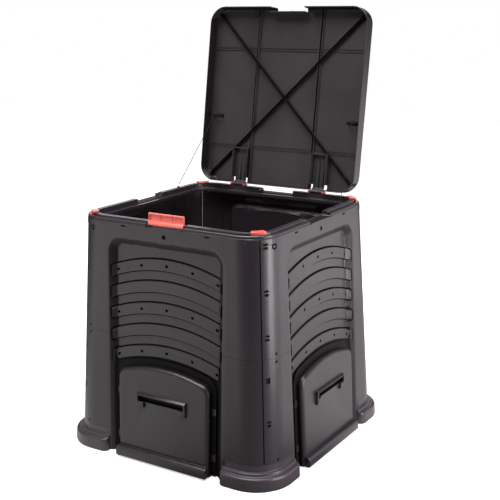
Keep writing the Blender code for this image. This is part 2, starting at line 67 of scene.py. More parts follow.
BAND_RISE = 0.005
LOUVRES = 5
LOUVRE_TOP = 0.669
LOUVRE_PITCH = 0.0703
LOUVRE_BAND = 0.037
LOUVRE_HALF = 0.2095
ARC_SAG = 0.90
VENT_SPOTS = (0.0, 0.098, 0.190)
VENT_R = 0.0046
VENT_DROP = 0.020
MID_SEAM = 0.406
FOOT_SEAM = 0.074
SEAM_GAP = 0.0006
LID_HALF = 0.318
LID_R = 0.060
LID_DEPTH = 0.0476
LID_WALL = 0.0032
HINGE_Y = 0.3227
HINGE_Z = 0.791
LID_TOP = 0.815
LID_CROWN = LID_TOP - HINGE_Z
LID_OPEN = math.radians(99.0)
HINGE_X = 0.163
HINGE_HALF = 0.030
LATCH_LINE = Vector((0, -0.337, 0.783))
LATCH_HALF = 0.0668
LATCH_TOP = 0.812 - 0.783
HOOK_X = 0.2785
HOOK_BACK = 0.242
HOOK_DEPTH = 0.024
HOOK_BAR_R = 0.0018
EYE_X = 0.330
EYE_Y = 0.180
CORD_R = 0.0012

# The floor: how bright the camera sees it near the object, the grey that other rays see, and its
# soft glows in place of low lights (azimuth, strength)
FLOOR_NEAR = 0.62
FLOOR_BOUNCE = 0.20
FLOOR_GLOWS = ((-36, 0.70), (128, 0.84))


# ---------------- mesh helpers
def to_mesh(bm, name):
    bmesh.ops.recalc_face_normals(bm, faces=bm.faces)
    mesh = bpy.data.meshes.new(name)
    bm.to_mesh(mesh)
    bm.free()
    return mesh


def lofted(name, loops):
    """A closed solid through loops of points, each loop closed, with both ends capped."""
    bm = bmesh.new()
    rings = [[bm.verts.new(point) for point in loop] for loop in loops]
    count = len(rings[0])
    for one, two in zip(rings, rings[1:]):
        for i in range(count):
            j = (i + 1) % count
            bm.faces.new((one[i], one[j], two[j], two[i]))
    bm.faces.new(rings[0])
    bm.faces.new(rings[-1])
    ends = [face for face in bm.faces if len(face.verts) > 4]
    bm.normal_update()
    bmesh.ops.triangulate(bm, faces=ends)
    return to_mesh(bm, name)


def helper_object(mesh):
    obj = bpy.data.objects.new(mesh.name, mesh)
    bpy.context.scene.collection.objects.link(obj)
    return obj


def baked(obj):
    graph = bpy.context.evaluated_depsgraph_get()
    graph.update()
    return bpy.data.meshes.new_from_object(obj.evaluated_get(graph))


def boolean(base, steps):
    """Boolean steps ("UNION" or "DIFFERENCE", mesh) on a mesh; gives the new mesh."""
    target = helper_object(base)
    tools = []
    for operation, mesh in steps:
        tool = helper_object(mesh)
        tools.append(tool)
        modifier = target.modifiers.new("step", "BOOLEAN")
        modifier.operation = operation
        modifier.solver = "EXACT"
        modifier.object = tool
    result = baked(target)
    for obj in [target] + tools:
        bpy.data.objects.remove(obj)
    return result


def soften(mesh, width, segments=3, angle=35):
    """Rounds the edges of a mesh."""
    obj = helper_object(mesh)
    modifier = obj.modifiers.new("soft", "BEVEL")
    modifier.width = width
    modifier.segments = segments
    modifier.limit_method = "ANGLE"
    modifier.angle_limit = math.radians(angle)
    modifier.use_clamp_overlap = True
    result = baked(obj)
    bpy.data.objects.remove(obj)
    return result


def smooth(mesh, angle=38):
    mesh.shade_smooth()
    mesh.set_sharp_from_angle(angle=math.radians(angle))
    return mesh


def box(low, high, name="block"):
    bm = bmesh.new()
    bmesh.ops.create_cube(bm, size=1.0)
    bmesh.ops.scale(bm, vec=Vector(high) - Vector(low), verts=bm.verts)
    bmesh.ops.translate(bm, vec=(Vector(high) + Vector(low)) / 2, verts=bm.verts)
    return to_mesh(bm, name)


def add_box(low, high):
    """The boolean step that adds a block."""
    return "UNION", box(low, high)


def prism(outline, low, high, axis, name="prism"):
    """An outline, (x, z) along Y or (y, z) along X, given thickness."""
    place = {"X": lambda u, v, w: (w, u, v), "Y": lambda u, v, w: (u, w, v)}[axis]
    return lofted(name, [[place(u, v, w) for u, v in outline] for w in (low, high)])


def rod(radius, low, high, centre, segments=32):
    """A cylinder along X."""
    ring = [(centre[0] + radius * math.cos(a), centre[1] + radius * math.sin(a))
            for a in (2 * math.pi * k / segments for k in range(segments))]
    return prism(ring, low, high, "X", "rod")


def spaced(values, least):
    """The values in order, without those that are too near the one before."""
    kept = []
    for value in sorted(values):
        if not kept or value - kept[-1] > least:
            kept.append(value)
    return kept


def piece(name, mesh, material, body, replaces=(), matrix=None):
    """A shown piece that rides on a body; the mesh is in the bin's own frame."""
    obj = bpy.data.objects.new(name, mesh)
    bpy.context.scene.collection.objects.link(obj)
    if not mesh.materials:
        mesh.materials.append(material)
    obj.matrix_world = Matrix.Translation(MIDDLE) @ (matrix or Matrix.Identity(4))
    bpy.context.view_layer.update()
    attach(obj, body)
    if replaces:
        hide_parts(*replaces)
    return obj


# ---------------- materials
def add_node(tree, kind, sockets=(), **settings):
    """A shader node with its settings, and with values on its sockets."""
    node = tree.nodes.new("ShaderNode" + kind)
    for name, value in settings.items():
        setattr(node, name, value)
    for socket, value in dict(sockets).items():
        node.inputs[socket].default_value = value
    return node


def moulded(name, colour, rough, grain, spread=0.12, specular=0.5):
    """Injection-moulded plastic: fine grain, faint flow marks, scuffs that shine differently."""
    mat = bpy.data.materials.new(name)
    mat.use_nodes = True
    tree = mat.node_tree
    link = tree.links.new
    shader = tree.nodes["Principled BSDF"]
    shader.inputs["Specular IOR Level"].default_value = specular
    place = add_node(tree, "TexCoord")

    def noise(scale, detail, roughness=0.55):
        node = add_node(tree, "TexNoise", {"Scale": scale, "Detail": detail, "Roughness": roughness})
        link(place.outputs["Object"], node.inputs["Vector"])
        return node.outputs["Fac"]

    def ramp(source, stops):
        node = add_node(tree, "ValToRGB")
        while len(node.color_ramp.elements) < len(stops):
            node.color_ramp.elements.new(0.5)
        for element, (position, value) in zip(node.color_ramp.elements, stops):
            element.position = position
            element.color = (*value, 1.0)
        link(source, node.inputs["Fac"])
        return node.outputs["Color"]

    def shade(factor):
        return tuple(c * factor for c in colour)

    broad = ramp(noise(5.0, 5.0), [(0.30, shade(1 - spread)), (0.52, colour), (0.72, shade(1 + spread))])
    speck = ramp(noise(420.0, 2.0), [(0.35, shade(0.86)), (0.65, shade(1.16))])
    scuff = ramp(noise(38.0, 9.0, 0.72), [(0.60, (0, 0, 0)), (0.74, (1, 1, 1))])
    mixed = add_node(tree, "Mix", {"Factor": 0.35}, data_type="RGBA")
    link(broad, mixed.inputs["A"])
    link(speck, mixed.inputs["B"])
    pale = (*[c * 1.25 + 0.006 for c in colour], 1.0)
    worn = add_node(tree, "Mix", {"B": pale}, data_type="RGBA")
    lighten = add_node(tree, "Math", {1: 0.35}, operation="MULTIPLY")
    link(scuff, lighten.inputs[0])
    link(lighten.outputs[0], worn.inputs["Factor"])
    link(mixed.outputs["Result"], worn.inputs["A"])
    link(worn.outputs["Result"], shader.inputs["Base Color"])
    level = add_node(tree, "MapRange", {"To Min": rough - 0.06, "To Max": rough + 0.07})
    link(noise(22.0, 6.0), level.inputs["Value"])
    link(level.outputs["Result"], shader.inputs["Roughness"])
    fine = add_node(tree, "Bump", {"Strength": grain, "Distance": 0.0004})
    link(noise(1500.0, 3.0), fine.inputs["Height"])
    flow = add_node(tree, "Bump", {"Strength": 0.10, "Distance": 0.002})
    link(noise(9.0, 2.0, 0.4), flow.inputs["Height"])
    link(fine.outputs["Normal"], flow.inputs["Normal"])
    link(flow.outputs["Normal"], shader.inputs["Normal"])
    return mat


charcoal = moulded("charcoal_moulded", (0.0225, 0.0175, 0.0208), 0.34, 0.30, 0.12, 0.52)
charcoal_lid = moulded("charcoal_lid", (0.0285, 0.0245, 0.0258), 0.36, 0.18, 0.34, 0.46)
charcoal_trim = moulded("charcoal_trim", (0.024, 0.023, 0.024), 0.38, 0.20, 0.12, 0.4)
# A lighter copy of the panel plastic for the feet: painted light, for the extra light the feet catch.
charcoal_foot_painted_light = moulded("charcoal_foot_painted_light", (0.0400, 0.0325, 0.0380), 0.36, 0.30, 0.12, 0.60)
# Near-black plastic: on the panels, doors and lid it is painted shade in grooves, gaps and hollows; the cord
# hooks are drawn in it whole.
charcoal_black_and_painted_shade = moulded("charcoal_black_and_painted_shade", (0.0075, 0.0066, 0.0070), 0.62, 0.30, 0.12, 0.12)
# Darker, duller copy of the panel plastic for the recess walls: painted shade where the walls face away from
# the light.
charcoal_wall_painted_shade = moulded("charcoal_wall_painted_shade", (0.0150, 0.0120, 0.0142), 0.45, 0.30, 0.12, 0.30)
coral = moulded("coral_moulded", (0.62, 0.088, 0.068), 0.38, 0.15, 0.05)
# A lighter copy of the coral plastic for the latch: painted light, for the light that falls on it from above
# in front.
coral_latch_painted_light = moulded("coral_latch_painted_light", (0.96, 0.175, 0.130), 0.38, 0.15, 0.05)
steel = moulded("steel_brushed", (0.55, 0.55, 0.56), 0.32, 0.10, 0.05)
steel.node_tree.nodes["Principled BSDF"].inputs["Metallic"].default_value = 1.0
cord_black = moulded("cord_twist", (0.010, 0.009, 0.009), 0.78, 0.60, 0.2, 0.2)


def three_materials(mesh, chosen, plain=charcoal):
    """Gives each face plain plastic (0), the painted shade of a deep gap (1) or the milder painted shade,
    darker and duller, of a recess wall (2).
    """
    for material in (plain, charcoal_black_and_painted_shade, charcoal_wall_painted_shade):
        mesh.materials.append(material)
    for face in mesh.polygons:
        face.material_index = int(chosen(face.center))
    return mesh


# ---------------- side panels
def half_width(z):
    return HALF_GROUND + (HALF_TOP - HALF_GROUND) * z / RIM_Z


def ease(u):
    u = min(max(u, 0.0), 1.0)
    return u * u * (3 - 2 * u)


def lerp(a, b, u):
    return a + (b - a) * u


def rounded_box_distance(u, v, half_u, half_v, radius):
    """Distance outside a rounded rectangle; negative within it."""
    qu = abs(u) - half_u + radius
    qv = abs(v) - half_v + radius
    return math.hypot(max(qu, 0), max(qv, 0)) + min(max(qu, qv), 0) - radius


# Recess side wall (distance in from the edge, depth): a shallow shoulder, then a steep drop
WALL_LINE = [(0.0, 0.0), (0.0010, 0.0005), (0.0100, 0.0066), (0.0120, 0.0086), (0.0225, 0.0187),
             (0.0245, RECESS_DEEP)]


def along_line(line, value):
    for (u0, v0), (u1, v1) in zip(line, line[1:]):
        if value <= u1:
            return lerp(v0, v1, max(value - u0, 0.0) / (u1 - u0))
    return line[-1][1]


def recess_depth(o, z, deep):
    qo = abs(o) - (RECESS_HALF - RECESS_R)
    qz = z - (RECESS_TOP - RECESS_R)
    if qo > 0 and qz > 0:
        inside = RECESS_R - math.hypot(qo, qz)
    else:
        inside = min(RECESS_HALF - abs(o), RECESS_TOP - z)
    return along_line(WALL_LINE, inside) * deep / RECESS_DEEP


def louvre_change(o, z):
    """How much the louvres raise the recess floor, and how deep the grooves round them go."""
    rise = 0.0
    groove = 0.0
    for k in range(LOUVRES):
        t = z - (LOUVRE_TOP - k * LOUVRE_PITCH - ARC_SAG * o * o)
        edge = rounded_box_distance(o, t + LOUVRE_BAND / 2, LOUVRE_HALF, LOUVRE_BAND / 2, 0.0035)
        rise = max(rise, ease(-edge / 0.0011))
        if 0.0001 < edge < 0.0042 and t > -LOUVRE_BAND:
            groove = max(groove, 0.0060)
        if -0.0022 < t + LOUVRE_BAND < -0.0001 and abs(o) < LOUVRE_HALF:
            groove = max(groove, 0.0036)
        if k % 2 == 0:
            for spot in VENT_SPOTS:
                if math.hypot(abs(o) - spot, t + VENT_DROP) < VENT_R:
                    groove = max(groove, 0.0080)
    return BAND_RISE * rise, groove


# Screw slots in pairs, and marks beside them: the first is a ring, the rest are small holes
SLOT_PAIRS = (0.748, 0.608, 0.472, 0.340, 0.204)
SLOT_SHIFTS = (-0.0058, 0.0052)
SLOT_ANGLE = math.radians(34.8)
MARK_ANGLE = math.radians(17)
MARKS = (0.744, 0.418, 0.394, 0.084)


def corner_pocket(sign, angle, z):
    """Depth of the screw slots and marks, which each panel has at its left corner only."""
    if sign > 0:
        return 0.0
    for centre in SLOT_PAIRS:
        for shift in SLOT_SHIFTS:
            across, height = (angle - SLOT_ANGLE) * CORNER_R, z - centre - shift
            if rounded_box_distance(across, height, 0.0070, 0.0034, 0.0018) < 0:
                return 0.0056
    across = (angle - MARK_ANGLE) * CORNER_R
    if 0.0052 < math.hypot(across, z - MARKS[0]) < 0.0090:
        return 0.0045
    for centre in MARKS[1:]:
        if rounded_box_distance(across, z - centre, 0.0036, 0.0036, 0.0018) < 0:
            return 0.0050
    return 0.0


def collar(angle, z):
    """The corner's top stands a little proud, and its seam edge has a small chamfer."""
    proud = 0.0012 * ease((z - 0.7508) / 0.0012) * ease((angle - 0.33) / 0.05)
    chamfer = 0.0026 * max(1 - (SEAM_ANGLE - angle) / 0.016, 0.0)
    return chamfer - proud


def top_pocket(o, z):
    """Depth of the round hole and the two slots over each recess."""
    if math.hypot(o, z - 0.743) < 0.0070:
        return 0.0039
    if rounded_box_distance(abs(o) - 0.159, z - 0.762, 0.0090, 0.0024, 0.0015) < 0:
        return 0.0036
    return 0.0


def columns():
    """Stations across a side from seam to seam: ("arc", sign, angle), ("pillar", ..) or ("flat", o)."""
    near = {0.0}
    for spot in VENT_SPOTS:
        for away in (0.0016, 0.0032, 0.0044, 0.0050):
            near.update((spot + away, abs(spot - away)))
    near.update((0.0055, 0.0068, 0.0074, 0.1496, 0.1504, 0.1676, 0.1684))
    near.update((0.2088, 0.2094, 0.2099, 0.2106, 0.2124, 0.2133))
    near.update(0.012 * k for k in range(1, 16))
    near.update(0.1948 + 0.0019 * k for k in range(14))
    flat = spaced((x for x in near if x < RECESS_HALF), 0.0006)
    pillar = (0.04, 0.25, 0.5, 0.75)
    angles = [SEAM_ANGLE * k / 14 for k in range(15)]
    for middle, half in ((SLOT_ANGLE, 0.070), (MARK_ANGLE, 0.036), (MARK_ANGLE, 0.052), (MARK_ANGLE, 0.090)):
        for edge in (middle - half, middle + half):
            angles += [edge - 0.004, edge + 0.004]
    angles += [MARK_ANGLE + share * 0.09 for share in (-0.8, -0.2, 0.0, 0.2, 0.8)] + [0.33, 0.36, 0.39]
    angles += [SEAM_ANGLE - away for away in (0.0165, 0.0150, 0.0060)]
    arc = spaced(angles, 0.0012)
    arc[-1] = SEAM_ANGLE
    left = [("arc", -1, a) for a in reversed(arc)] + [("pillar", -1, s) for s in reversed(pillar)]
    left += [("flat", -x) for x in reversed(flat) if x > 0]
    right = [("flat", x) for x in flat] + [("pillar", 1, s) for s in pillar]
    right += [("arc", 1, a) for a in arc]
    return left + right


def placed(station, z, inset):
    """The point of a station at a height, this far in from the wall's outer face."""
    kind = station[0]
    if kind == "flat":
        return Vector((station[1], inset - half_width(z), z))
    centre = half_width(z) - CORNER_R
    if kind == "pillar":
        o = lerp(RECESS_HALF, centre, station[2])
        return Vector((station[1] * o, inset - half_width(z), z))
    radius = CORNER_R - inset
    angle = station[2]
    return Vector((station[1] * (centre + radius * math.sin(angle)),
                   -(centre + radius * math.cos(angle)), z))


# Rows of the upper panel are named by their height at the middle. They sag like the louvres up to
# STRAIGHT and are level from LEVEL up; on the pillars they spread down to the seam under MERGE.
UPPER_LOW = LOUVRE_TOP - (LOUVRES - 1) * LOUVRE_PITCH - LOUVRE_BAND
MERGE = 0.56
STRAIGHT = 0.6735
LEVEL = 0.760
DROP = ARC_SAG * RECESS_HALF * RECESS_HALF


def sag_at(p):
    return ARC_SAG * min(max((LEVEL - p) / (LEVEL - STRAIGHT), 0), 1)


def pillar_z(p):
    if p < MERGE:
        low = MID_SEAM + SEAM_GAP / 2
        return lerp(low, MERGE - DROP, (p - UPPER_LOW) / (MERGE - UPPER_LOW))
    return p - sag_at(p) * RECESS_HALF * RECESS_HALF


def upper_z(station, p):
    if station[0] != "flat":
        return pillar_z(p)
    o = abs(station[1])
    if o <= FLOOR_HALF:
        return p - sag_at(p) * o * o
    inner = p - sag_at(p) * FLOOR_HALF * FLOOR_HALF
    return lerp(inner, pillar_z(p), (o - FLOOR_HALF) / (RECESS_HALF - FLOOR_HALF))


def level_of(z):
    """The row parameter whose height on the pillars is z."""
    low, high = UPPER_LOW, 0.80
    for _ in range(40):
        mid = (low + high) / 2
        if pillar_z(mid) < z:
            low = mid
        else:
            high = mid
    return low


# Heights of the rows from a louvre's top edge: its two grooves, its vents, and the floor between
LOUVRE_ROWS = (
    -0.0397, -0.0391, -0.0377, -0.0371, -0.0365, -0.0356, -0.0315, -0.0270, -0.0250, -0.0244, -0.0228,
    -0.0210, -0.0200, -0.0190, -0.0172, -0.0156, -0.0150, -0.0120, -0.0070, -0.0030, -0.0012, -0.0005,
    0.0001, 0.0006, 0.0036, 0.0044, 0.0080, 0.0140, 0.0200, 0.0260)
SLOT_ROWS = (-0.0037, -0.0031, 0.0031, 0.0037)
HOLE_ROWS = (-0.0039, -0.0033, 0.0033, 0.0039)
RING_ROWS = (-0.0092, -0.0086, -0.0055, -0.0048, 0.0048, 0.0055, 0.0086, 0.0092)


def slot_heights(pairs, marks):
    """Heights just inside and outside the edges of the screw slots and marks."""
    slots = [pair + shift + away for pair in pairs for shift in SLOT_SHIFTS for away in SLOT_ROWS]
    return slots + [mark + away for mark in marks for away in HOLE_ROWS]


def upper_levels():
    levels = {UPPER_LOW, 0.768}
    for k in range(LOUVRES):
        top = LOUVRE_TOP - k * LOUVRE_PITCH
        levels.update(top + s for s in LOUVRE_ROWS if UPPER_LOW < top + s < STRAIGHT + 0.02)
    levels.update(0.680 + 0.003 * k for k in range(29))
    heights = slot_heights(SLOT_PAIRS[:3], MARKS[:2]) + [MARKS[0] + away for away in RING_ROWS]
    levels.update(level_of(z) for z in heights)
    levels.update(0.743 + s for s in (-0.0076, -0.0068, -0.0050, 0.0050, 0.0068, 0.0076))
    levels.update((0.7506, 0.7512, 0.7521, 0.7593, 0.7599, 0.7641, 0.7647))
    return spaced(levels, 0.00035)


def outer_inset(station, z, deep):
    if station[0] == "arc":
        return corner_pocket(station[1], station[2], z) + collar(station[2], z)
    if station[0] == "pillar":
        return 0.0
    o = station[1]
    inset = recess_depth(o, z, deep)
    if deep == RECESS_DEEP:
        rise, groove = louvre_change(o, z)
        inset = max(inset - rise, 0.0) + groove + top_pocket(o, z)
    return inset


def inner_inset(station, z, deep):
    if station[0] == "arc":
        return WALL + 0.003 * ease(station[2] / 0.2)
    if station[0] == "pillar":
        return WALL
    cut = recess_depth(station[1], z, deep)
    return WALL + 0.0004 + cut + 0.0025 * ease(cut / 0.02) * (deep == RECESS_DEEP)


def rounded(points, radius, steps=3):
    """An open line with its corners turned into short arcs."""
    result = [points[0]]
    for before, here, after in zip(points, points[1:], points[2:]):
        p, q, r = Vector(before), Vector(here), Vector(after)
        reach = min(radius, (p - q).length * 0.45, (r - q).length * 0.45)
        start = q + (p - q).normalized() * reach
        end = q + (r - q).normalized() * reach
        for k in range(steps + 1):
            u = k / steps
            result.append(tuple(start * (1 - u) ** 2 + q * 2 * u * (1 - u) + end * u * u))
    return result + [points[-1]]


# Rim section (height, inset): lip, groove, raised rail, lid ledge, hem, and back down inside
RIM_SECTION = [
    (0.7700, 0.0000), (0.7712, 0.0012), (0.7724, 0.0012), (0.7732, -0.0004), (0.7780, 0.0004),
    (0.7800, 0.0030), (0.7800, 0.0092), (0.7735, 0.0098), (0.7735, 0.0142), (RAIL_Z, 0.0150),
    (RAIL_Z, 0.0218), (0.7830, 0.0224), (0.7830, 0.0240), (RAIL_Z, 0.0246), (RAIL_Z, 0.0323),
    (0.7670, 0.0327), (0.7670, 0.0478), (0.7550, 0.0480), (0.7552, 0.0447), (0.7632, 0.0443),
    (0.7635, 0.0290), (0.7700, 0.0288), (0.7640, 0.0100), (0.7600, 0.0044),
]


def upper_panel():
    levels = upper_levels()
    rim = rounded(RIM_SECTION, 0.0009)
    inside = [p for p in (0.745 - 0.011 * k for k in range(36)) if p > UPPER_LOW] + [UPPER_LOW]
    loops = []
    for station in columns():
        outside_z = [upper_z(station, p) for p in levels]
        inside_z = [upper_z(station, p) for p in inside]
        loop = [placed(station, z, outer_inset(station, z, RECESS_DEEP)) for z in outside_z]
        loop += [placed(station, z, inset) for z, inset in rim]
        loop += [placed(station, z, inner_inset(station, z, RECESS_DEEP)) for z in inside_z]
        loops.append(loop)
    notch = soften(box((-0.070, -0.42, 0.770), (0.070, -0.28, 0.83)), 0.004, 3)
    mesh = boolean(lofted("upper_panel_shell", loops), [("DIFFERENCE", notch)])
    three_materials(mesh, painted_shade_in_panel)
    return smooth(mesh, 30)


def painted_shade_in_panel(p):
    """Painted shade: 1 for faces in the grooves, vents, slots, seam and the latch notch's floor, 2 for the
    recess walls, 0 for the rest.
    """
    inset = p.y + half_width(p.z)
    if abs(p.x) < 0.0705 and 0.7690 < p.z < 0.7710:
        return 1
    if abs(p.x) < RECESS_HALF:
        if p.z > 0.735:
            return top_pocket(p.x, p.z) > 0.003 and 0.0004 < inset < 0.0042
        cut = recess_depth(p.x, p.z, RECESS_DEEP)
        rise, groove = louvre_change(p.x, p.z)
        if inset < cut + 0.0064 and groove > 0.003:
            return 1
        return 2 if 0.0010 < cut < 0.0192 and rise < 0.002 and inset < cut + 0.003 else 0
    centre = half_width(p.z) - CORNER_R
    across, out = abs(p.x) - centre, -p.y - centre
    if across <= 0 or out <= 0:
        return 0
    inset = CORNER_R - math.hypot(across, out)
    angle = math.atan2(across, out)
    if angle > SEAM_ANGLE - 0.014 and inset < 0.0066 and p.z < 0.752:
        return 1
    return p.x < 0 and corner_pocket(-1, angle, p.z) > 0.003 and 0.0006 < inset < 0.0062


def arch(half, top, low, corner, sag):
    """The outline of a door: straight sides, round shoulders and a top that sags to both ends."""
    steps = 8
    turn = half - corner
    shoulder = top - sag * turn * turn - corner
    right = [(half, low), (half, shoulder)]
    for k in range(1, steps):
        a = QUARTER * k / steps
        right.append((turn + corner * math.cos(a), shoulder + corner * math.sin(a) * 0.985))
    right += [(turn * s, top - sag * (turn * s) ** 2) for s in (0.93, 0.75, 0.55, 0.35, 0.15)]
    return right + [(-x, z) for x, z in reversed(right)]


def lower_panel():
    deep = 0.0185
    low = FOOT_SEAM + SEAM_GAP / 2
    shares = {k / 34 for k in range(35)}
    shares.update((z - low) / (MID_SEAM - low) for z in slot_heights(SLOT_PAIRS[3:], MARKS[2:]))
    kept = spaced(shares, 0.001)
    loops = []
    for station in columns():
        if station[0] == "flat" and abs(station[1]) < 0.19 and round(abs(station[1]) * 1e4) % 120:
            continue
        if station[0] == "pillar" and station[2] < 0.1:
            station = ("flat", station[1] * 0.2221)
        top = MID_SEAM - SEAM_GAP / 2
        foot = low
        if station[0] == "flat":
            o = abs(station[1])
            arc = UPPER_LOW - SEAM_GAP - ARC_SAG * min(o, FLOOR_HALF) ** 2
            share = min(max((o - FLOOR_HALF) / (RECESS_HALF - FLOOR_HALF), 0), 1)
            top = lerp(arc, top, share)
            foot = 0.002
        outside_z = [lerp(foot, top, s) for s in kept]
        inside_z = [lerp(foot, top, s) for s in (1.0, 0.75, 0.5, 0.25, 0.0)]
        loop = [placed(station, z, outer_inset(station, z, deep)) for z in outside_z]
        loop += [placed(station, z, inner_inset(station, z, deep)) for z in inside_z]
        loops.append(loop)
    steps = [("DIFFERENCE", prism(arch(0.180, 0.335, 0.040, 0.045, ARC_SAG), -0.44, -0.30, "Y"))]
    for sign in (-1, 1):
        inner, outer = sorted((sign * 0.1885, sign * 0.1925))
        steps.append(("DIFFERENCE", box((inner, -0.44, 0.050), (outer, -0.30, 0.250))))
    mesh = boolean(lofted("lower_panel_shell", loops), steps)
    three_materials(mesh, painted_shade_in_lower_panel)
    return smooth(mesh, 30)


def painted_shade_in_lower_panel(p):
    # Painted shade on faces set more than 9.5 mm in across the recess, such as the band over the door,
    # besides the upper panel's painted shade.
    behind = abs(p.x) < RECESS_HALF and p.y > 0.0095 - half_width(p.z)
    return behind or painted_shade_in_panel(p)


def runner():
    """A thin strip behind each guide slot, that closes it off from inside."""
    plate = box((0.173, 0.0287, 0.0), (0.200, 0.0301, 0.210))
    return smooth(boolean(plate, [add_box((-0.200, 0.0287, 0.0), (-0.173, 0.0301, 0.210))]), 30)


# Foot section (height, inset): two stepped shoulders over a flared toe, then back up inside
FOOT_SECTION = [
    (0.0737, 0.0), (0.0545, 0.0), (0.0530, -0.0006), (0.0522, -0.0080), (0.0512, -0.0096),
    (0.0470, -0.0104), (0.0448, -0.0106), (0.0436, -0.0122), (0.0428, -0.0180), (0.0412, -0.0226),
    (0.0370, -0.0252), (0.0330, -0.0258), (0.0200, -0.0260), (0.0060, -0.0260), (0.0018, -0.0252),
    (0.0, -0.0232), (0.0, -0.0060), (0.0045, -0.0065), (0.0055, -0.0200), (0.0290, -0.0205),
    (0.0360, -0.0150), (0.0420, 0.0010), (0.0500, 0.0040), (0.0737, 0.0040),
]


def corner_foot():
    """Foot round one corner; its flare dies away at both ends, which a plate closes."""
    profile = rounded(FOOT_SECTION, 0.0022)
    ends = (0.2225, 0.2232, 0.2250, 0.2280, 0.2320, 0.2370, 0.2430)
    stations = [("start", o) for o in ends]
    stations += [("arc", QUARTER * k / 20) for k in range(21)]
    stations += [("end", o) for o in reversed(ends)]
    loops = []
    for kind, value in stations:
        loop = []
        for z, inset in profile:
            if kind == "arc":
                centre = half_width(z) - CORNER_R
                radius = CORNER_R - inset
                loop.append(Vector((centre + radius * math.sin(value),
                                    -(centre + radius * math.cos(value)), z)))
                continue
            u = (0.2430 - value) / 0.0205
            full = math.sqrt(max(1 - u * u, 0.0))
            pulled = inset * lerp(0.35, 1.0, full) if inset < 0 else inset
            point = Vector((value, pulled - half_width(z), z))
            if kind == "end":
                point = Vector((half_width(z) - pulled, -value, z))
            loop.append(point)
        loops.append(loop)
    cap = [(-0.0078, 0.0006), (-0.0084, 0.0330), (-0.0035, 0.0450), (0.0008, 0.0520), (0.0008, 0.0730),
           (0.0034, 0.0730), (0.0034, 0.0006)]
    plate = [(inset - half_width(z), z) for inset, z in cap]
    steps = [("UNION", prism(plate, 0.2227, 0.2247, "X")),
             ("UNION", prism([(-y, z) for y, z in plate], -0.2247, -0.2227, "Y"))]
    return smooth(boolean(lofted("corner_foot_shell", loops), steps), 32)


def corner_clip():
    """Clip over the rail at one corner, slightly narrower at both ends."""
    outer = [(0.7762, 0.0108), (0.7885, 0.0094), (0.7900, 0.0112), (0.7900, 0.0300), (0.7882, 0.0317),
             (0.7853, 0.0316), (0.7853, 0.0140), (0.7762, 0.0136)]
    profile = rounded(outer + [outer[0]], 0.0009)[:-1]
    reach = SEAM_ANGLE * 0.67
    middle = 0.0205
    loops = []
    for k in range(15):
        u = k / 14
        angle = lerp(reach, QUARTER - reach, u)
        tight = 1 - 0.5 * max(abs(u - 0.5) * 2 - 0.86, 0) / 0.14
        loop = []
        for z, inset in profile:
            pulled = lerp(middle, inset, lerp(0.9, 1.0, tight)) if z > 0.7855 else inset
            loop.append(placed(("arc", 1, angle), z, pulled))
        loops.append(loop)
    return smooth(lofted("corner_clip_shell", loops), 40)


# ---------------- doors
def door_loop(y, margin):
    """The door's outline at a depth, drawn in by a margin."""
    outline = arch(0.1755 - margin, 0.3225 - margin, 0.003 + margin * 0.2, 0.036 - margin * 0.9, 1.0)
    return [Vector((x, y, z)) for x, z in outline]


